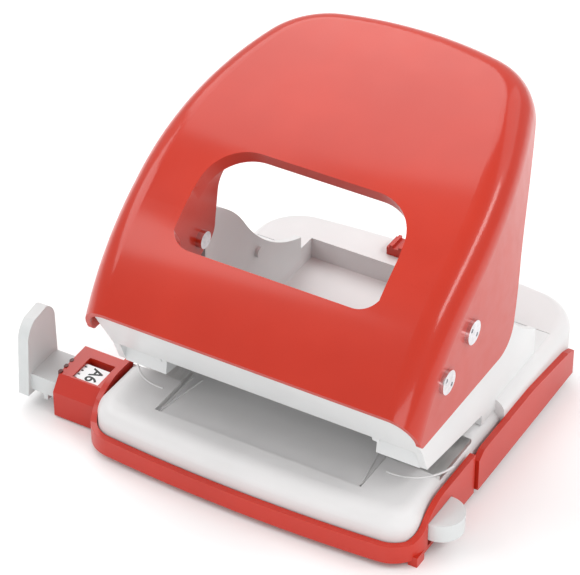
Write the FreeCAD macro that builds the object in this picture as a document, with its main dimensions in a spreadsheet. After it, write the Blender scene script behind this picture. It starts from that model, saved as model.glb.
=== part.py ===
"""Two-hole office punch: a red sheet-steel lever on a light grey frame and base, with a chip tray
and a paper guide that slides out to the left.

Frame of the part: X runs from left to right along the line of the two holes, Y runs to the rear,
Z is up from the table. The origin is on the table, halfway between the two holes.
"""
import FreeCAD, Part
import math
import os
import re

import Sketcher
from FreeCAD import Placement, Rotation, Vector

SIZES = [
    # span and overrun only reach past the punch: they size the blocks that cut or limit other solids
    ("span", 200.0), ("overrun", 20.0), ("running_gap", 0.3),
    ("hole_pitch", 80.0), ("hole_diameter", 5.5), ("paper_margin", 12.0),
    # lever, seen from the side: front edge, crown of the front bend, rear corner at the top
    ("lever_half", 50.6), ("sheet", 1.4), ("bend_radius", 8.0),
    ("lever_front_y", -30.4), ("lever_front_z", 48.6), ("front_bend_radius", 75.0), ("front_run", 6.0),
    ("crown_y", -8.0), ("crown_z", 73.5), ("top_radius", 147.0),
    ("lever_top_y", 72.0), ("lever_top_z", 99.8), ("lip_z", 91.5), ("lip_y", 62.0),
    ("cheek_sweep_y", 30.0), ("cheek_sweep_z", 58.0), ("cheek_sweep_radius", 45.0),
    ("cheek_rear_y", 26.8), ("cheek_rear_z", 46.0), ("cheek_low_y", 18.5), ("cheek_low_z", 38.0),
    ("cheek_corner_radius", 9.0), ("cheek_tip_y", -24.5), ("cheek_nose_y", -26.2), ("cheek_nose_z", 40.0),
    ("cheek_nose_radius", 2.6),
    # lever, seen square to its top: straight cheeks, long side arcs, round shoulders, arched top
    ("lever_slope", 30.0), ("side_arc_start", 38.0), ("side_arc_radius", 148.0),
    ("shoulder_half", 40.8), ("shoulder_start", 91.0), ("shoulder_radius", 23.5),
    ("arch_half", 24.0), ("arch_start", 105.5), ("arch_radius", 110.0),
    ("window_half", 32.0), ("window_top_half", 29.4), ("window_low", 19.8), ("window_high", 51.4),
    ("window_corner", 13.0), ("window_low_corner", 7.0), ("window_depth", 30.0),
    ("flange_depth", 5.4), ("lever_gap", 0.4), ("ear_half", 30.7), ("ear_reach", 4.6),
    ("ear_rear_y", 7.6), ("ear_neck_y", 9.3), ("ear_neck_z", 69.5), ("ear_neck_radius", 6.0),
    ("ear_root_y", 15.3), ("ear_root_z", 74.5),
    # pins
    ("pivot_y", -13.4), ("pivot_z", 52.1), ("drive_y", 0.0), ("drive_z", 59.2), ("pin_radius", 2.5),
    ("pin_fit", 0.05), ("pin_head_radius", 3.4), ("pin_head", 1.1), ("pin_inner", 28.9),
    ("pin_dimple", 0.5), ("dimple_radius", 0.6), ("dimple_shift", 1.4),
    # frame
    ("frame_half", 47.7), ("tower_inner", 32.5), ("frame_wall", 2.2), ("rib_width", 6.0), ("rib_x", 18.0),
    ("strip_top_y", -28.4), ("strip_top_z", 47.0), ("strip_low_y", -18.6), ("strip_low_z", 30.0),
    ("slot_front_y", -16.0), ("slot_front_z", 23.0), ("slot_end_y", 15.5), ("slot_end_z", 19.4),
    ("drive_slot_y", 5.2), ("drive_slot_z", 49.2), ("drive_gap", 0.4),
    ("tower_rear_y", 57.0), ("tower_rear_z", 23.8),
    ("tower_dip_y", 25.8), ("tower_dip_z", 47.9), ("tower_dip_radius", 60.0), ("tower_crest_radius", 45.0),
    ("tower_peak_y", 9.0), ("tower_peak_z", 63.0), ("tower_front_peak_y", -8.0),
    ("tower_front_peak_z", 60.5), ("tower_front_radius", 60.0),
    ("outer_wall_drop", 3.0), ("outer_rear_y", 47.0), ("outer_rear_z", 28.1),
    ("boss_y", 32.6), ("boss_z", 33.9), ("boss_radius", 1.6), ("boss_height", 1.0),
    ("guide_front_y", -16.0), ("guide_rear_y", 9.0), ("guide_top_z", 31.5),
    # punches and springs
    ("punch_tip_z", 21.5), ("punch_fit", 0.05), ("tip_hollow", 0.86),
    ("punch_head_radius", 5.0), ("punch_head", 2.5),
    ("spring_radius", 4.2), ("wire_radius", 0.5), ("spring_turns", 7.0), ("spring_steps", 14.0),
    ("wire_sides", 6.0),
    # base
    ("base_half", 49.6), ("base_front_y", -32.0), ("base_front_corner_y", -29.6),
    ("base_bow_radius", 500.0), ("base_rear_bow_radius", 310.0),
    ("base_rear_corner_y", 74.0), ("trough_rear_y", 63.5), ("table_rear_y", 23.5),
    ("base_bottom_z", 3.6), ("base_wall", 2.4), ("table_z", 16.0), ("ledge_z", 19.5),
    ("ledge_half", 50.6), ("floor_z", 12.6), ("cavity_top_z", 9.8),
    ("cavity_front_y", -24.6), ("cavity_rear_y", 67.0),
    ("front_corner_radius", 8.0), ("rear_corner_radius", 15.0), ("lip_radius", 5.0),
    ("rear_edge_radius", 4.0),
    ("seat_gap", 0.2), ("recess_half", 32.0), ("recess_front_y", -23.0), ("recess_depth", 1.2),
    ("die_width", 16.0), ("die_depth", 18.0), ("die_plate", 1.5), ("chip_hole_radius", 4.0),
    # chip tray and side panels
    ("tray_half", 51.6), ("tray_wall", 1.7), ("tray_front_y", -34.0), ("tray_front_corner_y", -31.6),
    ("tray_bottom_z", 2.0), ("tray_floor", 1.2), ("rim_z", 7.6), ("tray_rear_y", 4.6),
    ("tray_arch_z", 15.2), ("tray_corner_radius", 10.0), ("arch_out_radius", 14.0),
    ("arch_in_radius", 12.0),
    ("shell_front_y", 5.4), ("shell_rear_y", 64.0), ("shell_half", 52.4), ("shell_top_z", 14.6),
    ("shell_tail_z", 9.0), ("shell_bend_y", 38.0),
    ("hinge_y", 60.0), ("hinge_z", 5.4), ("hinge_radius", 1.5), ("hinge_x", 30.0), ("hinge_arm", 8.0),
    ("floor_half", 43.6), ("toe_depth", 4.0),
    ("foot_radius", 5.5), ("foot_x", 38.0), ("foot_rear_y", 48.0), ("foot_front_y", -24.0),
    # paper guide
    ("rail_front_y", -21.6), ("rail_rear_y", -8.8), ("rail_low_z", 5.2), ("rail_top_z", 10.6),
    ("rail_left", -74.0), ("rail_right", 58.4), ("rail_gap", 0.4), ("stop_thickness", 3.4),
    ("hook_x", -70.0), ("hook_thickness", 1.4), ("hook_width", 6.0), ("hook_drop", 1.8),
    ("stop_top_z", 28.0), ("stop_rear_radius", 6.0), ("stop_front_radius", 7.0), ("stop_foot", 1.6),
    ("housing_left", -65.4), ("housing_top_z", 13.8), ("housing_front_y", -23.4), ("housing_rear_y", -6.8),
    ("bore_low_z", 3.55), ("label_length", 8.4), ("label_width", 9.0),
    ("click_length", 24.0), ("click_width", 6.0), ("click_leaf", 0.4), ("click_bump", 0.9),
    # lever lock
    ("lock_x", 0.0), ("lock_y", 70.5), ("lock_length", 20.0), ("lock_width", 6.0), ("lock_travel", 6.0),
    ("button_height", 2.6), ("rib_height", 0.9), ("rib_thickness", 1.0), ("stem_length", 16.0),
    ("stem_width", 3.6), ("stem_depth", 2.8),
    # screws
    ("screw_radius", 1.5), ("screw_head_radius", 2.8), ("screw_head", 1.8), ("screw_length", 9.8),
    ("screw_front_y", 22.5), ("screw_rear_y", 51.0),
]

doc = FreeCAD.newDocument("HolePunch")
sheet = doc.addObject("Spreadsheet::Sheet", "Sizes")
for row, (alias, value) in enumerate(SIZES, start=1):
    sheet.set(f"A{row}", alias)
    sheet.set(f"B{row}", str(value))
    sheet.setAlias(f"B{row}", alias)
doc.recompute()

LOCK_RIBS = 7
SCREW_ROWS = ("screw_front_y", "screw_rear_y")
ALIASES = {alias for alias, _ in SIZES}
NODES = []


def bound(expression):
    """The expression with each size's name turned into a reference to its cell."""
    return re.sub("[a-z_]+", lambda word: "Sizes." + word.group() if word.group() in ALIASES
                  else word.group(), str(expression))


def value_of(expression):
    """The present value of an expression of sizes, in millimetres or degrees."""
    result = sheet.evalExpression(bound(expression))
    return float(getattr(result, "Value", result))


def bind(target, name, expression):
    target.setExpression(name, bound(expression))


def place(target, x="0", y="0", z="0", axis=Vector(0, 0, 1), angle=0.0):
    """Put an object at x, y, z, turned about an axis."""
    target.Placement = Placement(Vector(), Rotation(axis, angle))
    for name, expression in zip("xyz", (x, y, z)):
        bind(target, "Placement.Base." + name, expression)


def box(name, length, width, height, x, y, z):
    solid = doc.addObject("Part::Box", name)
    bind(solid, "Length", length)
    bind(solid, "Width", width)
    bind(solid, "Height", height)
    place(solid, x, y, z)
    return solid


def rod(name, radius, height, x, y, z, axis=Vector(0, 0, 1), angle=0.0):
    solid = doc.addObject("Part::Cylinder", name)
    bind(solid, "Radius", radius)
    bind(solid, "Height", height)
    place(solid, x, y, z, axis, angle)
    return solid


def cross_rod(name, radius, length, x, y, z):
    """A rod along +X from x."""
    return rod(name, radius, length, x, y, z, Vector(0, 1, 0), 90.0)


def fused(name, *solids):
    whole = doc.addObject("Part::MultiFuse", name)
    whole.Shapes = list(solids)
    whole.Refine = True
    return whole


def cut(name, base, tool):
    whole = doc.addObject("Part::Cut", name)
    whole.Base = base
    whole.Tool = tool
    whole.Refine = True
    return whole


def common(name, *solids):
    whole = doc.addObject("Part::MultiCommon", name)
    whole.Shapes = list(solids)
    return whole


def mirrored(name, source):
    """The mirror image of a solid on the other side of the plane X = 0."""
    image = doc.addObject("Part::Mirroring", name)
    image.Source = source
    image.Normal = Vector(1, 0, 0)
    return image


def rounded(name, base, wanted, radius):
    """A fillet on the wanted edges of base."""
    size = value_of(radius)
    edges = [(number, size, size) for number, edge in enumerate(base.Shape.Edges, 1)
             if any(edge.isSame(other) for other in wanted)]
    whole = doc.addObject("Part::Fillet", name)
    whole.Base = base
    whole.Edges = edges
    return whole


def node(label, solid):
    """Keep a finished solid as the sub-part of that name."""
    solid.Label = label
    NODES.append(solid)
    return solid


def plane_of(body, role):
    return next(feature for feature in body.Origin.OriginFeatures if feature.Role == role)


def arc_between(start, end, radius, left):
    """An arc from start to end whose centre lies to the left or the right of the way there."""
    chord = end - start
    half = chord.Length / 2
    rise = math.sqrt(max(radius * radius - half * half, 0.0))
    side = Vector(-chord.y, chord.x, 0) / chord.Length
    centre = (start + end) / 2 + side * (rise if left else -rise)
    from_point, to_point = (start, end) if left else (end, start)
    angles = [math.atan2(spot.y - centre.y, spot.x - centre.x) for spot in (from_point, to_point)]
    return Part.ArcOfCircle(Part.Circle(centre, Vector(0, 0, 1), radius), *angles)


def sketch_on(body, role, name, outline, tilt="0", offset="0"):
    """A closed sketch through the outline's points; an entry (u, v, radius, side) ends an arc."""
    sketch = body.newObject("Sketcher::SketchObject", name)
    sketch.AttachmentSupport = [(plane_of(body, role), "")]
    sketch.MapMode = "FlatFace"
    sketch.AttachmentOffset = Placement(Vector(), Rotation(Vector(1, 0, 0), value_of(tilt)))
    bind(sketch, "AttachmentOffset.Base.y", f"0 - ( {offset} ) * sin( {tilt} )")
    bind(sketch, "AttachmentOffset.Base.z", f"( {offset} ) * cos( {tilt} )")
    loops = outline if isinstance(outline[0], list) else [outline]
    for loop in loops:
        add_loop(sketch, loop)
    return sketch


def add_loop(sketch, loop):
    """Lines and arcs through a loop's points, each point and radius bound to its sizes."""
    spots = [Vector(value_of(entry[0]), value_of(entry[1]), 0) for entry in loop]
    first = sketch.GeometryCount
    ends = []
    for number, entry in enumerate(loop):
        start, end = spots[number - 1], spots[number]
        left = len(entry) > 2 and entry[3] == "left"
        if len(entry) == 2:
            sketch.addGeometry(Part.LineSegment(start, end))
        else:
            sketch.addGeometry(arc_between(start, end, value_of(entry[2]), left))
        ends.append((2, 1) if len(entry) > 2 and not left else (1, 2))
    for number, entry in enumerate(loop):
        this, following = first + number, (number + 1) % len(loop)
        finish = ends[number][1]
        joint = Sketcher.Constraint("Coincident", this, finish, first + following, ends[following][0])
        sketch.addConstraint(joint)
        for kind, expression in (("DistanceX", entry[0]), ("DistanceY", entry[1])):
            amount = value_of(expression)
            index = sketch.addConstraint(Sketcher.Constraint(kind, -1, 1, this, finish, amount))
            sketch.setExpression(f"Constraints[{index}]", bound(expression))
        if len(entry) > 2:
            index = sketch.addConstraint(Sketcher.Constraint("Radius", this, value_of(entry[2])))
            sketch.setExpression(f"Constraints[{index}]", bound(entry[2]))


def extrusion(name, role, outline, length, midplane=False, tilt="0", offset="0"):
    """A body padded from an outline on one of its origin planes."""
    body = doc.addObject("PartDesign::Body", name)
    sketch = sketch_on(body, role, name + "_outline", outline, tilt, offset)
    pad = body.newObject("PartDesign::Pad", name + "_pad")
    pad.Profile = sketch
    pad.Midplane = midplane
    bind(pad, "Length", length)
    return body


def both_sides(name, solid):
    """A solid and its mirror image as one sub-part."""
    return fused(name, solid, mirrored(name + "_other", solid))


# ---- lever ---------------------------------------------------------------------------------------

def lever_side(name, inset):
    """The lever's side profile, extruded over its width; inset moves the top surface inwards."""
    top = [
        (f"lever_front_y + 0.87 * {inset}", f"lever_front_z - 0.5 * {inset}"),
        (f"crown_y + 0.59 * {inset}", f"crown_z - 0.81 * {inset}",
         f"front_bend_radius - {inset}", "right"),
        (f"lever_top_y + 0.37 * {inset}", f"lever_top_z - 0.93 * {inset}",
         f"top_radius - {inset}", "right"),
    ]
    if inset == "0":
        below = [
            ("lever_top_y", "lip_z"),
            ("lip_y", "lip_z"),
            ("cheek_sweep_y", "cheek_sweep_z", "cheek_sweep_radius", "left"),
            ("cheek_rear_y", "cheek_rear_z"),
            ("cheek_low_y", "cheek_low_z", "cheek_corner_radius", "right"),
            ("cheek_tip_y", "cheek_low_z"),
            ("cheek_nose_y", "cheek_nose_z", "cheek_nose_radius", "right"),
        ]
    else:
        below = [
            ("lever_top_y + overrun", "lever_top_z"),
            ("lever_top_y + overrun", "0"),
            ("lever_front_y - overrun", "0"),
            (f"lever_front_y - 0.5 * front_run + 0.87 * {inset}",
             f"lever_front_z - 0.87 * front_run - 0.5 * {inset}"),
        ]
    return extrusion(name, "YZ_Plane", top + below, "span", midplane=True)


def lever_outline(name, inset):
    """The lever's outline square to its top, carried down through its depth."""
    half = f"lever_half - {inset}"
    outline = [
        (half, "-overrun"),
        (half, "side_arc_start"),
        (f"shoulder_half - 0.92 * {inset}", f"shoulder_start - 0.4 * {inset}",
         f"side_arc_radius - {inset}", "left"),
        (f"arch_half - 0.4 * {inset}", f"arch_start - 0.91 * {inset}",
         f"shoulder_radius - {inset}", "left"),
        (f"0.4 * {inset} - arch_half", f"arch_start - 0.91 * {inset}",
         f"arch_radius - {inset}", "left"),
        (f"0.92 * {inset} - shoulder_half", f"shoulder_start - 0.4 * {inset}",
         f"shoulder_radius - {inset}", "left"),
        (f"{inset} - lever_half", "side_arc_start", f"side_arc_radius - {inset}", "left"),
        (f"{inset} - lever_half", "-overrun"),
    ]
    return extrusion(name, "XY_Plane", outline, "span", tilt="lever_slope", offset="-overrun")


def bend_edges(shape, radii):
    """The edges around the lever's top surface, without its front edge and its crown line."""
    found = []
    for face in shape.Faces:
        radius = getattr(face.Surface, "Radius", 0.0)
        along_x = abs(getattr(face.Surface, "Axis", Vector(0, 0, 1)).x) > 0.99
        if along_x and min(abs(radius - wanted) for wanted in radii) < 0.01:
            found += face.Edges
    return [edge for edge in found if not (edge.Curve.TypeId == "Part::GeomLine" and
                                            abs(edge.Curve.Direction.x) > 0.99)]


def lever_block(name, inset):
    """A solid of the lever's outer shape, or of its hollow, with the bend around its top rounded."""
    whole = common(name + "_raw", lever_side(name + "_side", inset), lever_outline(name + "_plan", inset))
    doc.recompute()
    radii = [value_of(f"front_bend_radius - {inset}"), value_of(f"top_radius - {inset}")]
    wanted = bend_edges(whole.Shape, radii)
    return rounded(name, whole, wanted, f"bend_radius - {inset}")


def window_prism(name, margin):
    """The window's opening carried square through the top, wider all round by margin."""
    outline = [
        (f"window_half + {margin}", f"window_low - {margin}"),
        (f"window_top_half + {margin}", f"window_high + {margin}"),
        (f"-window_top_half - {margin}", f"window_high + {margin}"),
        (f"-window_half - {margin}", f"window_low - {margin}"),
    ]
    body = extrusion(name, "XY_Plane", outline, "span", tilt="lever_slope", offset="window_depth")
    doc.recompute()
    normal = Vector(0, -math.sin(math.radians(value_of("lever_slope"))),
                    math.cos(math.radians(value_of("lever_slope"))))
    base = body.getObject(name + "_pad")
    middle = base.Shape.BoundBox.Center.y
    for side, radius in ((1, "window_corner"), (-1, "window_low_corner")):
        along = [f"Edge{number}" for number, edge in enumerate(base.Shape.Edges, 1)
                 if edge.Curve.TypeId == "Part::GeomLine" and abs(edge.Curve.Direction.dot(normal)) > 0.99
                 and side * (edge.CenterOfMass.y - middle) > 0]
        corners = body.newObject("PartDesign::Fillet", f"{name}_{radius}")
        corners.Base = (base, along)
        bind(corners, "Radius", f"{radius} + {margin}")
        doc.recompute()
        base = corners
    return body


def ear(name):
    """The flap that carries on down from the window's side and holds the inner ends of the two pins."""
    outline = [
        ("pivot_y - ear_reach", "lever_top_z"),
        ("pivot_y - ear_reach", "pivot_z"),
        ("pivot_y + 0.5 * ear_reach", "pivot_z - 0.87 * ear_reach", "ear_reach", "left"),
        ("drive_y + 2", "drive_z - ear_reach"),
        ("ear_rear_y", "drive_z + 1", "ear_reach + 1", "left"),
        ("ear_neck_y", "ear_neck_z"),
        ("ear_root_y", "ear_root_z", "ear_neck_radius", "right"),
        ("ear_root_y", "lever_top_z"),
    ]
    return extrusion(name, "YZ_Plane", outline, "sheet", offset="ear_half")


def make_lever():
    shell = cut("lever_shell", lever_block("lever_outer", "0"), lever_block("lever_hollow", "sheet"))
    opened = cut("lever_open", shell, window_prism("window", "0"))
    collar = cut("collar", common("collar_band", window_prism("window_outer", "sheet"),
                                  lever_side("collar_depth_outer", "0")),
                 fused("collar_waste", window_prism("window_inner", "0"),
                       lever_side("collar_depth_inner", "flange_depth")))
    ears = both_sides("ears", common("right_ear", ear("ear_flap"), lever_side("ear_limit", "0")))
    start, length = "pin_inner - 2", "overrun + pin_inner"
    holes = both_sides("pin_holes", fused(
        "pin_hole_right",
        cross_rod("pivot_hole", "pin_radius + pin_fit", length, start, "pivot_y", "pivot_z"),
        cross_rod("drive_hole", "pin_radius", length, start, "drive_y", "drive_z")))
    node("lever", cut("lever_finished", fused("lever_body", opened, collar, ears), holes))


def pin(name, y, z):
    """A pin with a rounded head outside the cheek, staked with two dimples."""
    shank = cross_rod(name + "_shank", "pin_radius", "lever_half - pin_inner", "pin_inner", y, z)
    head = cross_rod(name + "_head", "pin_head_radius", "pin_head", "lever_half", y, z)
    dimples = [cross_rod(f"{name}_dimple_{word}", "dimple_radius", "pin_head",
                         "lever_half + pin_head - pin_dimple",
                         f"{y} {sign} dimple_shift", f"{z} {other} dimple_shift")
               for word, sign, other in (("rear", "+", "-"), ("front", "-", "+"))]
    return cut(name, fused(name + "_blank", shank, head), fused(name + "_dimples", *dimples))


def make_pins():
    node("pivot_pins", both_sides("pivot_pin_pair", pin("pivot_pin", "pivot_y", "pivot_z")))
    node("drive_pins", both_sides("drive_pin_pair", pin("drive_pin", "drive_y", "drive_z")))


# ---- frame ---------------------------------------------------------------------------------------

def tower_wall(name, x, rear_y="tower_rear_y", rear_z="tower_rear_z", drop="0"):
    """One side wall of a tower: high at the pins, falling in a double curve to the rear."""
    outline = [
        ("strip_top_y", "strip_top_z"),
        ("strip_low_y", "strip_low_z"),
        ("slot_front_y", "slot_front_z + 0.4"),
        ("slot_end_y", "slot_end_z"),
        ("slot_end_y", "table_z"),
        (rear_y, "table_z"),
        (rear_y, rear_z),
        ("tower_dip_y", "tower_dip_z", "tower_dip_radius", "right"),
        ("tower_peak_y", f"tower_peak_z - {drop}", "tower_crest_radius", "left"),
        ("tower_front_peak_y", f"tower_front_peak_z - {drop}", "tower_front_radius", "left"),
        ("strip_top_y + 6", "strip_top_z + 3"),
    ]
    return extrusion(name, "YZ_Plane", outline, "frame_wall", offset=x)


def front_strip():
    """The slanted strip below the lever's front edge, with the web that carries the punch guides."""
    outline = [
        ("strip_top_y", "strip_top_z"),
        ("strip_low_y", "strip_low_z"),
        ("strip_low_y + 3", "guide_top_z"),
        ("slot_end_y", "guide_top_z"),
        ("slot_end_y", "table_z"),
        ("slot_end_y + frame_wall", "table_z"),
        ("slot_end_y + frame_wall", "guide_top_z + frame_wall"),
        ("strip_low_y + 2 + frame_wall", "guide_top_z + frame_wall"),
        ("strip_top_y + frame_wall", "strip_top_z + 1"),
    ]
    return extrusion("front_strip", "YZ_Plane", outline, "2 * frame_half", midplane=True)


def make_frame():
    """The light grey upper frame: two hollow towers joined by the front strip and its web."""
    outer_wall = tower_wall("outer_wall", "frame_half - frame_wall", "outer_rear_y", "outer_rear_z",
                            "outer_wall_drop")
    boss = cross_rod("tower_boss", "boss_radius", "boss_height", "tower_inner - boss_height",
                     "boss_y", "boss_z")
    walls = fused("tower_walls", outer_wall, tower_wall("inner_wall", "tower_inner"), boss)
    rib = box("paper_stop_rib", "rib_width", "slot_end_y - paper_margin + 1",
              "guide_top_z - table_z - running_gap", "rib_x", "paper_margin", "table_z + running_gap")
    foot = box("tower_foot", "frame_half - tower_inner", "tower_rear_y - slot_end_y", "ledge_z - table_z",
               "tower_inner", "slot_end_y", "table_z")
    half = fused("frame_half_solid", walls, rib, foot)
    whole = fused("frame_solid", half, mirrored("frame_mirror", half), front_strip())
    below = box("frame_below", "span", "span", "strip_top_z - 10", "-span / 2", "-span / 2", "0")
    body = common("frame_inside_lever", whole,
                  fused("frame_room", lever_block("frame_ceiling", "( sheet + lever_gap )"), below))
    slot_height = "drive_z - drive_slot_z"
    guide_bay = box("guide_bay", "frame_wall + 1", "guide_rear_y - guide_front_y + 2",
                    "guide_top_z", "tower_inner - 1", "guide_front_y - 2", "0")
    holes = fused(
        "frame_holes_right", guide_bay,
        cross_rod("frame_pivot_hole", "pin_radius", "overrun", "pin_inner", "pivot_y", "pivot_z"),
        cross_rod("frame_drive_hole", "pin_radius + drive_gap", "overrun", "pin_inner",
                  "drive_y", "drive_z"),
        box("frame_drive_slot", "overrun", "drive_slot_y + pin_radius + drive_gap", slot_height,
            "pin_inner", "-pin_radius - drive_gap", "drive_slot_z"),
        rod("frame_punch_hole", "hole_diameter / 2 + running_gap", "overrun", "hole_pitch / 2", "0",
            "guide_top_z - 5"),
        *[rod(f"frame_screw_hole_{number}", "screw_radius", "overrun", "hole_pitch / 2", y, "0")
          for number, y in enumerate(SCREW_ROWS)])
    node("upper_frame", cut("frame_finished", body, both_sides("frame_holes", holes)))


def make_punch_guides():
    outline = [
        ("guide_front_y", "slot_front_z"),
        ("guide_rear_y", "slot_end_z + 0.8"),
        ("guide_rear_y", "guide_top_z"),
        ("guide_front_y + 1", "guide_top_z"),
    ]
    block = extrusion("guide_block", "YZ_Plane", outline, "frame_half - frame_wall - tower_inner",
                      offset="tower_inner")
    bore = rod("guide_bore", "hole_diameter / 2 + punch_fit", "guide_top_z + 1", "hole_pitch / 2", "0", "0")
    guide = cut("punch_guide_right_solid", block, bore)
    node("punch_guide_right", guide)
    node("punch_guide_left", mirrored("punch_guide_left_solid", guide))


# ---- punches and springs -------------------------------------------------------------------------

def make_punches():
    """Each punch hangs under its drive pin; the tip is hollowed so that it shears."""
    head_top = "drive_z - pin_radius - pin_fit"
    shank = rod("punch_shank", "hole_diameter / 2", "drive_z - pin_radius - 1 - punch_tip_z",
                "hole_pitch / 2", "0", "punch_tip_z")
    head = rod("punch_cap", "punch_head_radius", "punch_head",
               "hole_pitch / 2", "0", f"{head_top} - punch_head")
    tip = cross_rod("punch_tip_notch", "hole_diameter", "2 * hole_diameter",
                    "hole_pitch / 2 - hole_diameter", "0", "punch_tip_z - tip_hollow * hole_diameter")
    punch = cut("punch_right_solid", fused("punch_blank", shank, head), tip)
    node("punch_right", punch)
    node("punch_left", mirrored("punch_left_solid", punch))


def coil_solid(height):
    """A coil of faceted wire standing on z = 0 around the Z axis."""
    turns, steps, sides = (int(value_of(size)) for size in ("spring_turns", "spring_steps", "wire_sides"))
    radius, wire = value_of("spring_radius"), value_of("wire_radius")
    count = turns * steps
    points = []
    for number in range(count + 1):
        turn = Rotation(Vector(0, 0, 1), 360.0 * number / steps)
        for side in range(sides):
            angle = 2 * math.pi * side / sides
            rise = height * number / count
            spot = Vector(radius + wire * math.cos(angle), 0, wire * math.sin(angle) + rise)
            points.append(turn.multVec(spot))
    facets = []
    for number in range(count):
        low = number * sides
        for side in range(sides):
            following = (side + 1) % sides
            corners = (low + side, low + following, low + sides + following, low + sides + side)
            facets.append((corners[0], corners[2], corners[1]))
            facets.append((corners[0], corners[3], corners[2]))
    for side in range(1, sides - 1):
        facets.append((0, side, side + 1))
        facets.append((count * sides, count * sides + side + 1, count * sides + side))
    skin = Part.Shape()
    skin.makeShapeFromMesh((points, facets), 0.001)
    solid = Part.Solid(Part.Shell(skin.Faces))
    if solid.Volume < 0:
        solid.reverse()
    return solid


def make_return_springs():
    """The coil spring around each punch, between the web of the frame and the punch's head."""
    low = "guide_top_z + frame_wall + wire_radius"
    height = "drive_z - pin_radius - punch_head - guide_top_z - frame_wall - 2 * wire_radius - 0.1"
    spring = doc.addObject("Part::Feature", "return_spring")
    spring.Shape = coil_solid(value_of(height))
    place(spring, "hole_pitch / 2", "0", low)
    node("return_spring_right", spring)
    node("return_spring_left", mirrored("return_spring_left_solid", spring))


# ---- base ----------------------------------------------------------------------------------------

def plan_outline(half, front_y, corner_y, front_radius, rear_corner_y, rear_radius):
    return [
        (f"-( {half} )", corner_y),
        (half, corner_y, front_radius, "left"),
        (half, rear_corner_y),
        (f"-( {half} )", rear_corner_y, rear_radius, "left"),
    ]


def with_round_corners(name, outline, length, offset, front_radius, rear_radius, split_y):
    """A plan extruded upwards, its front corners and its rear corners rounded."""
    body = extrusion(name, "XY_Plane", outline, length, offset=offset)
    doc.recompute()
    base = body.getObject(name + "_pad")
    for part_name, radius, is_wanted in (("front", front_radius, lambda y: y < split_y),
                                         ("rear", rear_radius, lambda y: y >= split_y)):
        if radius is None:
            continue
        upright = [f"Edge{number}" for number, edge in enumerate(base.Shape.Edges, 1)
                   if edge.Curve.TypeId == "Part::GeomLine" and abs(edge.Curve.Direction.z) > 0.99
                   and is_wanted(edge.CenterOfMass.y) and abs(edge.CenterOfMass.x) > 30]
        corners = body.newObject("PartDesign::Fillet", f"{name}_{part_name}")
        corners.Base = (base, upright)
        bind(corners, "Radius", radius)
        doc.recompute()
        base = corners
    return body


def top_fillet(body, previous, name, radius, z, is_wanted):
    """A fillet on the edges of a body's feature at height z that is_wanted picks."""
    doc.recompute()
    base = body.getObject(previous)
    edges = [f"Edge{number}" for number, edge in enumerate(base.Shape.Edges, 1)
             if abs(edge.CenterOfMass.z - z) < 0.01 and is_wanted(edge)]
    fillet = body.newObject("PartDesign::Fillet", name)
    fillet.Base = (base, edges)
    bind(fillet, "Radius", radius)
    return fillet


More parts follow.
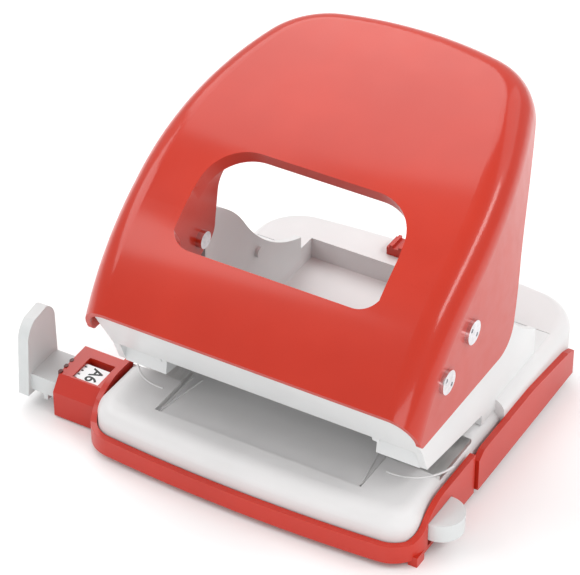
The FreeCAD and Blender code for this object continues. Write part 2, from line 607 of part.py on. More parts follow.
def make_base():
    """The light grey base: a hollow body with a low table in front and a ridge round the rear."""
    front = with_round_corners(
        "base_front_block",
        plan_outline("base_half", "base_front_y", "base_front_corner_y", "base_bow_radius",
                     "table_rear_y + 2", "base_bow_radius"),
        "table_z - base_bottom_z", "base_bottom_z", "front_corner_radius", None, 0.0)
    table_height = value_of("table_z")
    top_fillet(front, "base_front_block_front", "base_lip", "lip_radius", table_height,
               lambda edge: edge.CenterOfMass.y < value_of("table_rear_y") + 1)
    rear = with_round_corners(
        "base_rear_block",
        plan_outline("ledge_half", "base_front_y", "table_rear_y", "base_bow_radius",
                     "base_rear_corner_y", "base_rear_bow_radius"),
        "ledge_z - base_bottom_z", "base_bottom_z", None, "rear_corner_radius",
        value_of("table_rear_y") + 1)
    top_fillet(rear, "base_rear_block_rear", "base_rear_edge", "rear_edge_radius", value_of("ledge_z"),
               lambda edge: edge.CenterOfMass.y > value_of("table_rear_y") + 1)
    front_trim = box("base_front_trim", "span", "span", "span", "-span / 2", "table_rear_y - span", "0")
    block = fused("base_block", front, cut("base_rear_cut", rear, front_trim))
    seats = box("tower_seat", "frame_half - tower_inner + seat_gap", "tower_rear_y - slot_end_y + seat_gap",
                "overrun", "tower_inner - seat_gap", "slot_end_y", "table_z")
    trough = box("base_trough", "2 * ( tower_inner + seat_gap )", "trough_rear_y - slot_end_y", "overrun",
                 "-tower_inner - seat_gap", "slot_end_y", "floor_z")
    table = box("table_recess", "2 * recess_half", "slot_end_y - recess_front_y", "overrun",
                "-recess_half", "recess_front_y", "table_z - recess_depth")
    cavity = box("base_cavity", "2 * ( base_half - base_wall )", "cavity_rear_y - cavity_front_y",
                 "cavity_top_z", "base_wall - base_half", "cavity_front_y", "0")
    rail_way = box("rail_way", "span", "rail_rear_y - rail_front_y + 2 * rail_gap", "rail_top_z + rail_gap",
                   "-span / 2", "rail_front_y - rail_gap", "0")
    die_seats = both_sides("die_seats", fused(
        "die_seat_right",
        box("die_seat", "die_width", "die_depth", "overrun",
            "( hole_pitch - die_width ) / 2", "0 - die_depth / 2", "table_z - die_plate"),
        rod("chip_hole", "chip_hole_radius", "overrun", "hole_pitch / 2", "0", "0")))
    lock_slot = box("lock_slot", "stem_length + lock_travel + 2 * seat_gap", "stem_width + 2 * seat_gap",
                    "overrun", "lock_x - stem_length / 2 - seat_gap", "lock_y - stem_width / 2 - seat_gap",
                    "ledge_z - stem_depth - seat_gap")
    seat_pair = both_sides("tower_seats", seats)
    screw_holes = both_sides("base_screw_holes", fused("base_screw_holes_right", *[
        rod(f"base_screw_hole_{number}", "screw_radius", "overrun", "hole_pitch / 2", y, "0")
        for number, y in enumerate(SCREW_ROWS)]))
    hinge_holes = cross_rod("base_hinge_hole", "hinge_radius", "span", "-span / 2", "hinge_y", "hinge_z")
    hollow = fused("base_hollow", seat_pair, trough, table, cavity, rail_way, die_seats, lock_slot,
                   screw_holes, hinge_holes)
    node("base_body", cut("base_finished", block, hollow))


def make_die_plates():
    plate = box("die_blank", "die_width", "die_depth", "die_plate",
                "( hole_pitch - die_width ) / 2", "0 - die_depth / 2", "table_z - die_plate")
    hole = rod("die_hole", "hole_diameter / 2 + punch_fit", "overrun", "hole_pitch / 2", "0", "0")
    node("die_plates", both_sides("die_plate_pair", cut("die_plate_right", plate, hole)))


def make_tray():
    """The red chip tray: a floor with a rim round the front that arches over the paper guide."""
    outer = with_round_corners(
        "tray_block",
        plan_outline("tray_half", "tray_front_y", "tray_front_corner_y", "base_bow_radius",
                     "tray_rear_y", "base_bow_radius"),
        "tray_arch_z - tray_bottom_z", "tray_bottom_z", "tray_corner_radius", None, 0.0)
    inner = with_round_corners(
        "tray_inside",
        plan_outline("tray_half - tray_wall", "tray_front_y + tray_wall", "tray_front_corner_y + tray_wall",
                     "base_bow_radius", "tray_rear_y + overrun", "base_bow_radius"),
        "overrun", "tray_bottom_z + tray_floor", "tray_corner_radius - tray_wall", None, 0.0)
    shape = [
        ("tray_rear_y + overrun", "tray_arch_z + overrun"),
        ("tray_rear_y + overrun", "tray_arch_z"),
        ("rail_rear_y - 4", "tray_arch_z"),
        ("rail_front_y - 1", "tray_arch_z - 4", "arch_out_radius", "left"),
        ("rail_front_y - 6", "rim_z", "arch_in_radius", "right"),
        ("tray_front_y - overrun", "rim_z"),
        ("tray_front_y - overrun", "tray_arch_z + overrun"),
    ]
    above = extrusion("tray_rim_cut", "YZ_Plane", shape, "span", midplane=True)
    rear_cut = box("tray_rear_cut", "span", "span", "span", "-span / 2", "tray_rear_y", "0")
    rail_hole = box("tray_rail_hole", "span", "rail_rear_y - rail_front_y + 2 * running_gap",
                    "rail_top_z + running_gap - tray_bottom_z - tray_floor",
                    "-span / 2", "rail_front_y - running_gap", "tray_bottom_z + tray_floor")
    rim = cut("tray_rim", outer, fused("tray_waste", inner, above, rear_cut, rail_hole))
    floor = box("tray_long_floor", "2 * floor_half", "hinge_y - hinge_arm - tray_rear_y + 6", "tray_floor",
                "-floor_half", "tray_rear_y - 2", "tray_bottom_z")
    hinge_eyes = both_sides("hinge_eyes", fused(
        "hinge_eye_right",
        cross_rod("hinge_eye", "2 * hinge_radius", "hinge_arm", "hinge_x", "hinge_y", "hinge_z"),
        box("hinge_arm_right", "hinge_arm", "hinge_arm", "hinge_z - tray_bottom_z", "hinge_x",
            "hinge_y - hinge_arm", "tray_bottom_z")))
    bore = cross_rod("tray_hinge_hole", "hinge_radius + pin_fit", "span", "-span / 2", "hinge_y", "hinge_z")
    toe = box("tray_toe", "tray_wall + 1", "toe_depth", "tray_bottom_z + tray_floor",
              "tray_half - tray_wall - 1", "rail_front_y - 6", "0")
    node("chip_tray", cut("tray_finished", fused("tray_body", rim, floor, hinge_eyes, toe), bore))


def make_side_panels():
    """The red side panels that carry on the tray's line along the rear of the base."""
    outline = [
        ("shell_front_y", "tray_bottom_z + 0.6"),
        ("shell_rear_y", "shell_tail_z - 6"),
        ("shell_rear_y", "shell_tail_z + 2"),
        ("shell_rear_y - 4", "shell_tail_z + 3.4"),
        ("shell_bend_y", "shell_top_z"),
        ("shell_front_y + 3", "shell_top_z"),
        ("shell_front_y", "shell_top_z - 2"),
    ]
    panel = extrusion("shell_panel", "YZ_Plane", outline, "shell_half - ledge_half", offset="ledge_half")
    node("side_panels", both_sides("shell_panels", panel))


def make_small_parts():
    pins = both_sides("tray_hinge_pin_pair", cross_rod(
        "tray_hinge_pin", "hinge_radius", "base_half - hinge_x + 2.4", "hinge_x - 2",
        "hinge_y", "hinge_z"))
    node("tray_hinge_pins", pins)
    feet = [rod(f"foot_{number}", "foot_radius", "tray_bottom_z", "foot_x", y, "0")
            for number, y in enumerate(("foot_front_y", "foot_rear_y"))]
    node("rubber_feet", both_sides("foot_group", fused("feet_right", *feet)))
    screws = []
    for number, y in enumerate(SCREW_ROWS):
        head_low = "cavity_top_z - screw_head"
        shank = rod(f"screw_shank_{number}", "screw_radius", "screw_length", "hole_pitch / 2", y, head_low)
        head = rod(f"screw_head_{number}", "screw_head_radius", "screw_head", "hole_pitch / 2", y, head_low)
        screws.append(fused(f"screw_{number}", shank, head))
    node("frame_screws", both_sides("frame_screw_group", fused("screws_right", *screws)))


def make_guide():
    """The paper guide: a flat rail with an upright end stop, running in a red housing."""
    end_radius = "( rail_rear_y - rail_front_y ) / 2"
    rail = box("rail_bar", f"rail_right - {end_radius} - rail_left", "rail_rear_y - rail_front_y",
               "rail_top_z - rail_low_z", "rail_left", "rail_front_y", "rail_low_z")
    end = rod("rail_end", end_radius, "rail_top_z - rail_low_z", f"rail_right - {end_radius}",
              "( rail_rear_y + rail_front_y ) / 2", "rail_low_z")
    stop_outline = [
        ("rail_front_y - 1.6", "rail_low_z - stop_foot"),
        ("rail_rear_y + 0.6", "rail_low_z - stop_foot"),
        ("rail_rear_y + 0.2", "stop_top_z - 6"),
        ("rail_rear_y - 3.6", "stop_top_z", "stop_rear_radius", "left"),
        ("rail_front_y + 3.4", "stop_top_z - 1"),
        ("rail_front_y - 0.2", "stop_top_z - 6", "stop_front_radius", "left"),
    ]
    stop = extrusion("end_stop", "YZ_Plane", stop_outline, "stop_thickness",
                     offset="rail_left - stop_thickness")
    hook = box("rail_hook", "hook_thickness", "hook_width", "rail_top_z - rail_low_z", "hook_x",
               "rail_front_y", "rail_low_z - hook_drop")
    node("guide_rail", fused("guide_rail_solid", rail, end, stop, hook))
    housing_outline = [
        ("housing_front_y", "0.6"),
        ("housing_rear_y", "0.6"),
        ("housing_rear_y", "housing_top_z"),
        ("rail_front_y + 1.6", "housing_top_z - 0.6"),
        ("housing_front_y", "housing_top_z - 5"),
    ]
    shell = extrusion("housing_block", "YZ_Plane", housing_outline, "0 - housing_left - tray_half",
                      offset="housing_left")
    bore = box("housing_bore", "span", "rail_rear_y - rail_front_y + running_gap",
               "rail_top_z - bore_low_z + running_gap / 2",
               "housing_left - overrun", "rail_front_y - running_gap / 2", "bore_low_z")
    window = box("housing_window", "label_length", "label_width", "overrun", "housing_left + 4",
                 "rail_front_y + 2.2", "rail_top_z - 1")
    node("guide_housing", cut("guide_housing_solid", shell, fused("housing_waste", bore, window)))
    floor_top = "tray_bottom_z + tray_floor"
    spring = box("click_spring_blank", "click_length", "click_width", "click_leaf", "-click_length",
                 "rail_front_y + click_width / 2", floor_top)
    bump = cross_rod("click_spring_bump", "click_bump", "2 * click_bump", "-click_length / 2",
                     "rail_front_y + click_width", f"{floor_top} + click_bump")
    node("guide_click_spring", fused("click_spring", spring, bump))


def make_lock():
    """The red ribbed slider on the rear ridge that holds the lever down for storage."""
    button = box("lock_button", "lock_length", "lock_width", "button_height", "lock_x - lock_length / 2",
                 "lock_y - lock_width / 2", "ledge_z + pin_fit")
    pitch = f"lock_length / {LOCK_RIBS}"
    ribs = [box(f"lock_rib_{number}", "rib_thickness", "lock_width", "rib_height",
                f"lock_x - lock_length / 2 + ( {number} + 0.5 ) * {pitch} - rib_thickness / 2",
                "lock_y - lock_width / 2", "ledge_z + button_height") for number in range(LOCK_RIBS)]
    stem = box("lock_stem", "stem_length", "stem_width", "stem_depth + button_height / 2",
               "lock_x - stem_length / 2", "lock_y - stem_width / 2", "ledge_z - stem_depth")
    node("lever_lock", fused("lever_lock_solid", button, stem, *ribs))


def check_and_write():
    """Stop on any failed object or empty shape, then write one STEP file for each sub-part."""
    doc.recompute()
    failed = [item.Name for item in doc.Objects if {"Invalid", "Error"} & set(item.State)]
    if failed:
        raise RuntimeError("failed objects: " + ", ".join(failed))
    os.makedirs("parts", exist_ok=True)
    for solid in NODES:
        if solid.Shape.isNull() or not solid.Shape.isValid() or not solid.Shape.Solids:
            raise RuntimeError("bad shape: " + solid.Label)
        solid.Shape.exportStep(f"parts/{solid.Label}.step")
        print(f"{solid.Label:22s} solids {len(solid.Shape.Solids)}  volume {solid.Shape.Volume:9.1f} mm3")


make_lever()
make_pins()
make_frame()
make_punch_guides()
make_punches()
make_return_springs()
make_base()
make_die_plates()
make_tray()
make_side_panels()
make_small_parts()
make_guide()
make_lock()
check_and_write()
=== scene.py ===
"""Looks of the two-hole punch: finishes, soft edges, printed marks, round-wire springs, stage.

The frame is the model's own, in metres: X to the right along the line of the holes, Y to the rear,
Z up from the desk. Sizes written here are in millimetres, scaled by MM, unless a comment says
otherwise.
"""
import math

import bmesh
import bpy
from mathutils import Matrix, Vector


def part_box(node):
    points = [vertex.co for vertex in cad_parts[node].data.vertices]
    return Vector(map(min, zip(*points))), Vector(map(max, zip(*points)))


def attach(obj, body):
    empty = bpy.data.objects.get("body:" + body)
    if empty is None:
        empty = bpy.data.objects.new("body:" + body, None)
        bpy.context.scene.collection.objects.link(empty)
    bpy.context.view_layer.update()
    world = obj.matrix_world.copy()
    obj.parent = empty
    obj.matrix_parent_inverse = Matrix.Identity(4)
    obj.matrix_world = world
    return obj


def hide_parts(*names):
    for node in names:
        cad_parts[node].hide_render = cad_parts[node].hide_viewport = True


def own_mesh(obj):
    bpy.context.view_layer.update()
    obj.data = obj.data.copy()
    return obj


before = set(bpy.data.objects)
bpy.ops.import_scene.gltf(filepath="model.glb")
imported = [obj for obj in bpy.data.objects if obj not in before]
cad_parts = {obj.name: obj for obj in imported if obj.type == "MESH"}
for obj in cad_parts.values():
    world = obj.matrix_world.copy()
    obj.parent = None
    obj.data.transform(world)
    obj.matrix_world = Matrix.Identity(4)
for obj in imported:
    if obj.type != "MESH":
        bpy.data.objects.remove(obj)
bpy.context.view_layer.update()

MM = 0.001

BEVEL_STEPS = 3
# only edges sharper than this, in degrees, are softened
BEVEL_ANGLE = 32
# the share of a ridge's width that its crest takes up
CREST_SHARE = 0.4

# the card's middle, from the housing's left edge and the rail's front edge
CARD_PLACE = (8.2, 7.0)
# length, width and corner radius, here and for the ticks and grips
CARD_SIZE = (8.3, 8.0, 0.3)
# below the top of the housing
CARD_DEPTH = 1.1
CARD_THICKNESS = 0.6
LETTER_HEIGHT = 5.2
LETTER_WEIGHT = 0.09
LETTER_RELIEF = 0.01
TEXT_SHIFT = (0.5, 0.4, 0.01)
TICK_SHIFT = (-3.6, -2.7)
TICK_SIZE = (0.8, 0.6, 0.25)
TICK_PITCH = 1.8
TICK_COUNT = 4
TICK_THICKNESS = 0.03
GRIP_SIZE = (1.1, 1.5, 0.5)
GRIP_ROWS = (-19.4, -16.6, -13.8)
GRIP_INSET = 0.1
# both below the top of the housing
GRIP_FOOT, GRIP_TOP = 4.6, 0.2

# each wedge's outer line runs straight back from the tip, and its inner line slants inwards
WEDGE_X, WEDGE_TIP_Y = 31.2, -22.2
WEDGE_REAR_X, WEDGE_REAR_Y = 28.2, -4.6
# width, foot and crest
WEDGE_LINE = (0.7, 14.75, 15.15)
ARC_LINE = (0.8, 15.95, 16.2)
ARC_X, ARC_Y, ARC_RADIUS = 36.0, -1.0, 13.2
# degrees
ARC_START, ARC_SWEEP = 190, 85
ARC_STEPS = 24

SPRING_TURNS = 7
TURN_STEPS = 28
WIRE_SIDES = 10
WIRE_RADIUS = 0.5

# metres from the middle to each side
FLOOR_EDGE = 4.0
# degrees
CAMERA_AZIMUTH, CAMERA_ELEVATION = 30.3, 36.5
CAMERA_DISTANCE = 719
CAMERA_AIM = (3.1, -10.3, 62.0)
LENS = 172.1
# metres, as are the panels' places and sizes; powers are in watts
CLIP_START = 0.05
LIGHT_AIM = (0, 0, 0.05)
PANELS = (
    ("overhead", (-0.68, 0.6, 1.15), (1.0, 1.05), 8.0),
    ("left_panel", (-0.98, -0.45, 0.98), (1.15, 0.6), 7.0),
    ("rear_right", (0.5, 1.0, 1.1), (1.2, 0.8), 3.0),
    ("front_fill", (0.7, -1.1, 0.3), (1.0, 0.4), 3.5),
    ("right_strip", (0.85, 0.1, 0.85), (1.0, 0.2), 5.0),
)
SURROUND_STRENGTH = 0.68


# ---- node materials --------------------------------------------------------------------

class Finish:
    """A node material built around one principled shader."""

    def __init__(self, name):
        self.material = bpy.data.materials.new(name)
        self.material.use_nodes = True
        self.nodes = self.material.node_tree.nodes
        self.links = self.material.node_tree.links
        self.shader = self.nodes["Principled BSDF"]
        self.place = self.nodes.new("ShaderNodeTexCoord").outputs["Object"]

    def set(self, **values):
        for name, value in values.items():
            self.shader.inputs[name.replace("_", " ")].default_value = value

    def noise(self, scale, detail=4.0, rough=0.5, stretch=None):
        """A noise pattern with features about 1 / scale metres long, drawn out by stretch."""
        texture = self.nodes.new("ShaderNodeTexNoise")
        texture.inputs["Scale"].default_value = scale
        texture.inputs["Detail"].default_value = detail
        texture.inputs["Roughness"].default_value = rough
        source = self.place
        if stretch:
            mapping = self.nodes.new("ShaderNodeMapping")
            mapping.inputs["Scale"].default_value = stretch
            self.links.new(source, mapping.inputs["Vector"])
            source = mapping.outputs["Vector"]
        self.links.new(source, texture.inputs["Vector"])
        return texture.outputs["Fac"]

    def ramp(self, factor, *stops):
        """Colours or values spread over a factor; each stop is (position, colour or value)."""
        node = self.nodes.new("ShaderNodeValToRGB")
        node.color_ramp.interpolation = "EASE"
        elements = node.color_ramp.elements
        while len(elements) < len(stops):
            elements.new(0.5)
        for element, (position, value) in zip(elements, stops):
            element.position = position
            colour = value if isinstance(value, tuple) else (value, value, value)
            element.color = (*colour, 1.0)
        self.links.new(factor, node.inputs["Fac"])
        return node.outputs["Color"]

    def mix(self, factor, first, second):
        """Two colours blended by a factor; each is a socket or a constant."""
        node = self.nodes.new("ShaderNodeMix")
        node.data_type = "RGBA"
        sockets = {"Factor": node.inputs[0], "A": node.inputs[6], "B": node.inputs[7]}
        for name, value in (("Factor", factor), ("A", first), ("B", second)):
            if hasattr(value, "is_linked"):
                self.links.new(value, sockets[name])
            else:
                sockets[name].default_value = value if name == "Factor" else (*value, 1.0)
        return node.outputs[2]

    def bump(self, height, strength, distance):
        """Fine relief, distance metres deep at full height."""
        node = self.nodes.new("ShaderNodeBump")
        node.inputs["Strength"].default_value = strength
        node.inputs["Distance"].default_value = distance
        self.links.new(height, node.inputs["Height"])
        self.links.new(node.outputs["Normal"], self.shader.inputs["Normal"])

    def feed(self, name, value):
        self.links.new(value, self.shader.inputs[name])


def powder_coat(name, deep, light, rough_low, rough_high):
    """Sprayed enamel: slow shifts of tone, fine dark flecks and a faint orange peel."""
    finish = Finish(name)
    cloud = finish.noise(28.0, 3.0)
    speck = finish.ramp(finish.noise(2600.0, 2.0), (0.62, 0.0), (0.75, 0.35))
    colour = finish.ramp(cloud, (0.3, deep), (0.7, light))
    finish.feed("Base Color", finish.mix(speck, colour, tuple(channel * 0.8 for channel in deep)))
    peel = finish.noise(900.0, 2.0, 0.4)
    finish.feed("Roughness", finish.ramp(finish.noise(160.0), (0.3, rough_low), (0.7, rough_high)))
    finish.bump(peel, 0.1, 0.05 * MM)
    finish.set(Coat_Weight=0.6, Coat_Roughness=0.13, Specular_IOR_Level=0.2, IOR=1.45)
    return finish.material


def moulded(name, deep, light, rough_low, rough_high, grain=1400.0, coat=0.0):
    """Injection-moulded plastic with a fine grain and slow shifts of tone."""
    finish = Finish(name)
    cloud = finish.noise(22.0, 4.0)
    finish.feed("Base Color", finish.ramp(cloud, (0.32, deep), (0.68, light)))
    gloss = finish.ramp(finish.noise(60.0, 2.0), (0.3, rough_low), (0.7, rough_high))
    finish.feed("Roughness", gloss)
    finish.bump(finish.noise(grain, 2.0), 0.05, 0.02 * MM)
    finish.set(IOR=1.47, Coat_Weight=coat, Coat_Roughness=0.12)
    return finish.material


def metal(name, deep, light, rough_low, rough_high, stretch):
    """Bare metal with drawn or ground streaks along one direction."""
    finish = Finish(name)
    streaks = finish.noise(700.0, 5.0, 0.6, stretch)
    finish.feed("Base Color", finish.ramp(streaks, (0.3, deep), (0.7, light)))
    finish.feed("Roughness", finish.ramp(streaks, (0.25, rough_low), (0.75, rough_high)))
    finish.bump(streaks, 0.08, 0.03 * MM)
    finish.set(Metallic=1.0)
    return finish.material


def rubber(name):
    """Matt black rubber with a fine grain."""
    finish = Finish(name)
    deep, light = (0.012, 0.012, 0.012), (0.035, 0.034, 0.033)
    finish.feed("Base Color", finish.ramp(finish.noise(60.0), (0.3, deep), (0.7, light)))
    finish.feed("Roughness", finish.ramp(finish.noise(300.0), (0.3, 0.7), (0.7, 0.9)))
    finish.bump(finish.noise(1800.0, 3.0), 0.3, 0.05 * MM)
    return finish.material


RED = powder_coat("lever_enamel", (0.45, 0.02, 0.005), (0.5, 0.026, 0.008), 0.3, 0.38)
TRAY_RED = moulded("tray_plastic", (0.46, 0.018, 0.006), (0.52, 0.023, 0.008), 0.3, 0.34, coat=0.1)
LOCK_RED = moulded("lock_plastic", (0.45, 0.02, 0.01), (0.5, 0.026, 0.012), 0.25, 0.34)
FRAME_GREY = moulded("frame_plastic", (0.64, 0.65, 0.65), (0.7, 0.71, 0.71), 0.34, 0.44, coat=0.1)
BASE_GREY = moulded("base_plastic", (0.63, 0.62, 0.62), (0.69, 0.68, 0.68), 0.36, 0.48)
RAIL_GREY = moulded("rail_plastic", (0.56, 0.58, 0.58), (0.63, 0.65, 0.65), 0.35, 0.45)
CHROME = metal("pin_chrome", (0.62, 0.62, 0.64), (0.8, 0.8, 0.82), 0.1, 0.2, (0.2, 1.0, 1.0))
GROUND = metal("punch_steel_ground", (0.42, 0.43, 0.45), (0.58, 0.59, 0.6), 0.22, 0.36,
               (1.0, 1.0, 0.15))
WIRE = metal("spring_wire", (0.36, 0.37, 0.38), (0.52, 0.53, 0.54), 0.25, 0.38, (1.0, 1.0, 1.0))
ZINC = metal("die_zinc", (0.74, 0.74, 0.73), (0.84, 0.84, 0.83), 0.38, 0.5, (1.0, 0.2, 1.0))
SCREW = metal("screw_zinc", (0.5, 0.5, 0.5), (0.66, 0.66, 0.64), 0.25, 0.4, (1.0, 1.0, 1.0))
RUBBER = rubber("foot_rubber_black")
# painted shade: a near-black copy of the tray red that stands for the shade inside the grip
# notches
NOTCH_SHADE = moulded("grip_notch_painted_shade", (0.09, 0.006, 0.003), (0.12, 0.008, 0.004), 0.3, 0.4)
LABEL = moulded("label_print_white", (0.82, 0.82, 0.83), (0.87, 0.87, 0.88), 0.35, 0.45)
INK = moulded("label_print_ink", (0.014, 0.014, 0.015), (0.022, 0.022, 0.023), 0.4, 0.5)

FINISHES = {
    "lever": RED, "pivot_pins": CHROME, "drive_pins": CHROME, "upper_frame": FRAME_GREY,
    "punch_guide_right": FRAME_GREY, "punch_guide_left": FRAME_GREY,
    "punch_right": GROUND, "punch_left": GROUND,
    "return_spring_right": WIRE, "return_spring_left": WIRE,
    "base_body": BASE_GREY, "die_plates": ZINC, "chip_tray": TRAY_RED, "side_panels": TRAY_RED,
    "tray_hinge_pins": CHROME, "rubber_feet": RUBBER, "frame_screws": SCREW,
    "guide_rail": RAIL_GREY, "guide_housing": TRAY_RED, "guide_click_spring": WIRE,
    "lever_lock": LOCK_RED,
}
# millimetres
SOFT_EDGES = {
    "lever": 0.55, "upper_frame": 0.35, "base_body": 0.45, "chip_tray": 0.4, "side_panels": 0.4,
    "punch_guide_right": 0.3, "punch_guide_left": 0.3, "guide_rail": 0.35, "guide_housing": 0.5,
    "lever_lock": 0.3, "drive_pins": 0.45, "pivot_pins": 0.45, "rubber_feet": 0.5,
}


def finish_nodes():
    """Each carried-over piece gets its finish, and most get softly rounded edges."""
    for name, material in FINISHES.items():
        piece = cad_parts[name]
        piece.data.materials.clear()
        piece.data.materials.append(material)
        if name in SOFT_EDGES:
            bevel = piece.modifiers.new("soft_edges", "BEVEL")
            bevel.width = SOFT_EDGES[name] * MM
            bevel.segments = BEVEL_STEPS
            bevel.limit_method = "ANGLE"
            bevel.angle_limit = math.radians(BEVEL_ANGLE)
            bevel.harden_normals = False


# ---- printed marks, moulded lines and springs ------------------------------------------

def keep_piece(name, mesh, material, body):
    """A finished mesh becomes a piece that moves with a body."""
    mesh.materials.append(material)
    piece = bpy.data.objects.new(name, mesh)
    bpy.context.collection.objects.link(piece)
    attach(piece, body)
    return piece


def prism_into(work, outline, low, high):
    """A closed prism over an outline of (x, y) points in millimetres."""
    floor = [work.verts.new((x * MM, y * MM, low * MM)) for x, y in outline]
    roof = [work.verts.new((x * MM, y * MM, high * MM)) for x, y in outline]
    work.faces.new(reversed(floor))
    work.faces.new(roof)
    for number in range(len(outline)):
        following = (number + 1) % len(outline)
        work.faces.new((floor[number], floor[following], roof[following], roof[number]))


def ridge_into(work, path, width, low, high):
    """A low ridge with a narrow crest along a path of (x, y) points in millimetres."""
    rows = []
    for number, (x, y) in enumerate(path):
        before, after = path[max(number - 1, 0)], path[min(number + 1, len(path) - 1)]
        along = Vector((after[0] - before[0], after[1] - before[1])).normalized()
        side = Vector((-along.y, along.x)) * width / 2
        crest = (side.x * CREST_SHARE, side.y * CREST_SHARE)
        profile = ((x - side.x, y - side.y, low), (x - crest[0], y - crest[1], high),
                   (x + crest[0], y + crest[1], high), (x + side.x, y + side.y, low))
        rows.append([work.verts.new((spot[0] * MM, spot[1] * MM, spot[2] * MM))
                     for spot in profile])
    for first, second in zip(rows, rows[1:]):
        for number in range(4):
            following = (number + 1) % 4
            work.faces.new((first[number], second[number], second[following], first[following]))
    work.faces.new(rows[0])
    work.faces.new(reversed(rows[-1]))


def mesh_of(name, build):
    """A mesh filled by build, its faces turned outwards."""
    work = bmesh.new()
    build(work)
    bmesh.ops.recalc_face_normals(work, faces=work.faces)
    mesh = bpy.data.meshes.new(name)
    work.to_mesh(mesh)
    work.free()
    return mesh


def round_rectangle(x, y, length, width, radius, steps=5):
    """The outline of a rectangle with rounded corners around x, y, in millimetres."""
    spots = []
    for quarter, (across, up) in enumerate(((1, 1), (-1, 1), (-1, -1), (1, -1))):
        for step in range(steps + 1):
            angle = math.radians(90 * (quarter + step / steps))
            spots.append((x + across * (length / 2 - radius) + radius * math.cos(angle),
                          y + up * (width / 2 - radius) + radius * math.sin(angle)))
    return spots


def lettering(name, text, size, place):
    """Raised lettering as a mesh: it reads towards the front, its tops to the right."""
    curve = bpy.data.curves.new(name, "FONT")
    curve.body = text
    curve.size = size * MM
    curve.offset = LETTER_WEIGHT * MM
    curve.extrude = LETTER_RELIEF * MM
    curve.align_x = "CENTER"
    curve.align_y = "CENTER"
    words = bpy.data.objects.new(name + "_curve", curve)
    bpy.context.collection.objects.link(words)
    bpy.context.view_layer.update()
    shaped = words.evaluated_get(bpy.context.evaluated_depsgraph_get())
    mesh = bpy.data.meshes.new_from_object(shaped)
    bpy.data.objects.remove(words)
    mesh.name = name
    mesh.materials.clear()
    quarter_turn = Matrix.Rotation(math.radians(-90), 4, "Z")
    mesh.transform(Matrix.Translation(Vector(place) * MM) @ quarter_turn)
    return mesh


def make_guide_marks():
    """The size card in the housing's window, and dark blocks on the housing's left edge whose
    colour is painted shade standing in for the shaded grip notches.
    """
    low, high = (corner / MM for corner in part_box("guide_housing"))
    rail_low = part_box("guide_rail")[0] / MM
    x, y = low.x + CARD_PLACE[0], rail_low.y + CARD_PLACE[1]
    top = high.z - CARD_DEPTH

    def card(work):
        prism_into(work, round_rectangle(x, y, *CARD_SIZE), top - CARD_THICKNESS, top)

    def ticks(work):
        for number in range(TICK_COUNT):
            row = y + TICK_SHIFT[1] + TICK_PITCH * number
            outline = round_rectangle(x + TICK_SHIFT[0], row, *TICK_SIZE)
            prism_into(work, outline, top, top + TICK_THICKNESS)

    def grips(work):
        for row in GRIP_ROWS:
            outline = round_rectangle(low.x + GRIP_INSET, row, *GRIP_SIZE)
            prism_into(work, outline, high.z - GRIP_FOOT, high.z - GRIP_TOP)

    keep_piece("size_card", mesh_of("size_card", card), LABEL, "tray")
    text_place = (x + TEXT_SHIFT[0], y + TEXT_SHIFT[1], top + TEXT_SHIFT[2])
    keep_piece("size_text", lettering("size_text", "A6", LETTER_HEIGHT, text_place), INK, "tray")
    keep_piece("size_ticks", mesh_of("size_ticks", ticks), INK, "tray")
    # blocks coloured with painted shade where the grip notches sit
    keep_piece("housing_grip_notch_shades", mesh_of("housing_grip_notch_shades", grips), NOTCH_SHADE, "tray")


def make_table_lines():
    """Fine moulded lines on the table: a pointed wedge and an arc in front of each punch."""
    def lines(work):
        for side in (-1, 1):
            tip = (side * WEDGE_X, WEDGE_TIP_Y)
            outer, inner = (side * WEDGE_X, WEDGE_REAR_Y), (side * WEDGE_REAR_X, WEDGE_REAR_Y)
            ridge_into(work, (outer, tip), *WEDGE_LINE)
            ridge_into(work, (tip, inner), *WEDGE_LINE)
            arc = []
            for step in range(ARC_STEPS + 1):
                angle = math.radians(ARC_START + ARC_SWEEP * step / ARC_STEPS)
                arc.append((-side * (-ARC_X + ARC_RADIUS * math.cos(angle)),
                            ARC_Y + ARC_RADIUS * math.sin(angle)))
            ridge_into(work, arc, *ARC_LINE)

    keep_piece("table_lines", mesh_of("table_lines", lines), BASE_GREY, "base")


def coil_into(work, middle, radius, bottom, height, sign):
    """A closed helix of round wire around middle, in millimetres; sign gives its hand."""
    rings = []
    for number in range(SPRING_TURNS * TURN_STEPS + 1):
        turn = sign * 2 * math.pi * number / TURN_STEPS
        rise = bottom + height * number / (SPRING_TURNS * TURN_STEPS)
        ring = []
        for spoke in range(WIRE_SIDES):
            angle = 2 * math.pi * spoke / WIRE_SIDES
            out = radius + WIRE_RADIUS * math.cos(angle)
            ring.append(work.verts.new(Vector((
                middle.x + out * math.cos(turn), middle.y + out * math.sin(turn),
                rise + WIRE_RADIUS * math.sin(angle))) * MM))
        rings.append(ring)
    for first, second in zip(rings, rings[1:]):
        for spoke in range(WIRE_SIDES):
            following = (spoke + 1) % WIRE_SIDES
            face = work.faces.new((first[spoke], first[following],
                                   second[following], second[spoke]))
            face.smooth = True
    work.faces.new(rings[0])
    work.faces.new(reversed(rings[-1]))


def make_springs():
    """Round-wire coils in place of the faceted ones."""
    for side, sign in (("right", 1), ("left", -1)):
        low, high = (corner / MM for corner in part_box(f"return_spring_{side}"))
        middle = (low + high) / 2
        radius = (high.x - low.x) / 2 - WIRE_RADIUS
        height = high.z - low.z - 2 * WIRE_RADIUS

        def coil(work):
            coil_into(work, middle, radius, low.z + WIRE_RADIUS, height, sign)

        name = f"coil_spring_{side}"
        spring = keep_piece(name, mesh_of(name, coil), WIRE, "base")
        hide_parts(f"return_spring_{side}")
        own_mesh(spring)


# ---- stage -----------------------------------------------------------------------------

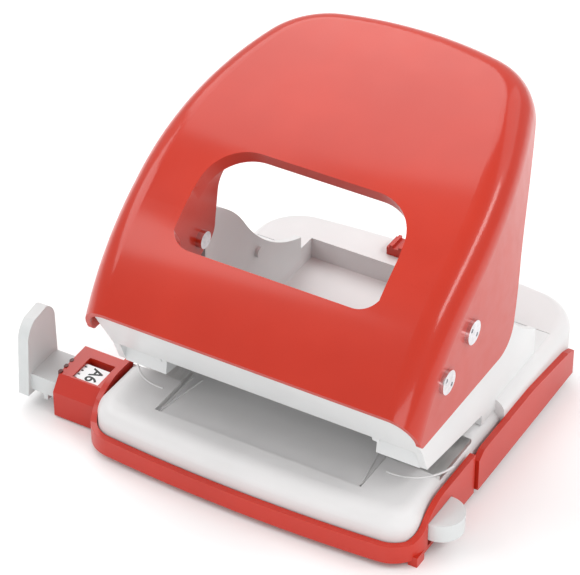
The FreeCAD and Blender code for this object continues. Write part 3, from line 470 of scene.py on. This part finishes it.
def make_floor():
    """A plain pale floor under the feet."""
    mesh = bpy.data.meshes.new("floor")
    edge = FLOOR_EDGE
    corners = [(-edge, -edge, 0), (edge, -edge, 0), (edge, edge, 0), (-edge, edge, 0)]
    mesh.from_pydata(corners, [], [(0, 1, 2, 3)])
    floor = bpy.data.objects.new("floor", mesh)
    bpy.context.collection.objects.link(floor)
    finish = Finish("floor_paper")
    finish.feed("Base Color", finish.ramp(finish.noise(6.0), (0.3, 0.9), (0.7, 0.93)))
    finish.set(Roughness=0.9)
    mesh.materials.append(finish.material)


def make_camera():
    """The camera looks down from the front right with a long lens."""
    azimuth, elevation = math.radians(CAMERA_AZIMUTH), math.radians(CAMERA_ELEVATION)
    aim = Vector(CAMERA_AIM) * MM
    back = Vector((math.sin(azimuth) * math.cos(elevation),
                   -math.cos(azimuth) * math.cos(elevation),
                   math.sin(elevation)))
    data = bpy.data.cameras.new("camera")
    data.lens = LENS
    data.clip_start = CLIP_START
    camera = bpy.data.objects.new("camera", data)
    bpy.context.collection.objects.link(camera)
    camera.rotation_mode = "QUATERNION"
    camera.location = aim + back * (CAMERA_DISTANCE * MM)
    camera.rotation_quaternion = (-back).to_track_quat("-Z", "Y")
    bpy.context.scene.camera = camera


def area_light(name, place, size, power):
    """A flat panel that faces the object."""
    data = bpy.data.lights.new(name, "AREA")
    data.shape = "RECTANGLE"
    data.size, data.size_y = size
    data.energy = power
    light = bpy.data.objects.new(name, data)
    bpy.context.collection.objects.link(light)
    light.location = place
    light.rotation_mode = "QUATERNION"
    light.rotation_quaternion = (Vector(LIGHT_AIM) - Vector(place)).to_track_quat("-Z", "Y")


def make_light():
    """Soft studio light: five wide panels around and above the object, and a white surround."""
    for panel in PANELS:
        area_light(*panel)
    world = bpy.data.worlds.new("surround")
    bpy.context.scene.world = world
    world.use_nodes = True
    background = world.node_tree.nodes["Background"]
    background.inputs["Color"].default_value = (1.0, 1.0, 1.0, 1.0)
    background.inputs["Strength"].default_value = SURROUND_STRENGTH


make_camera()
make_light()
make_floor()
finish_nodes()
make_guide_marks()
make_table_lines()
make_springs()
bpy.context.scene.view_settings.view_transform = "Standard"
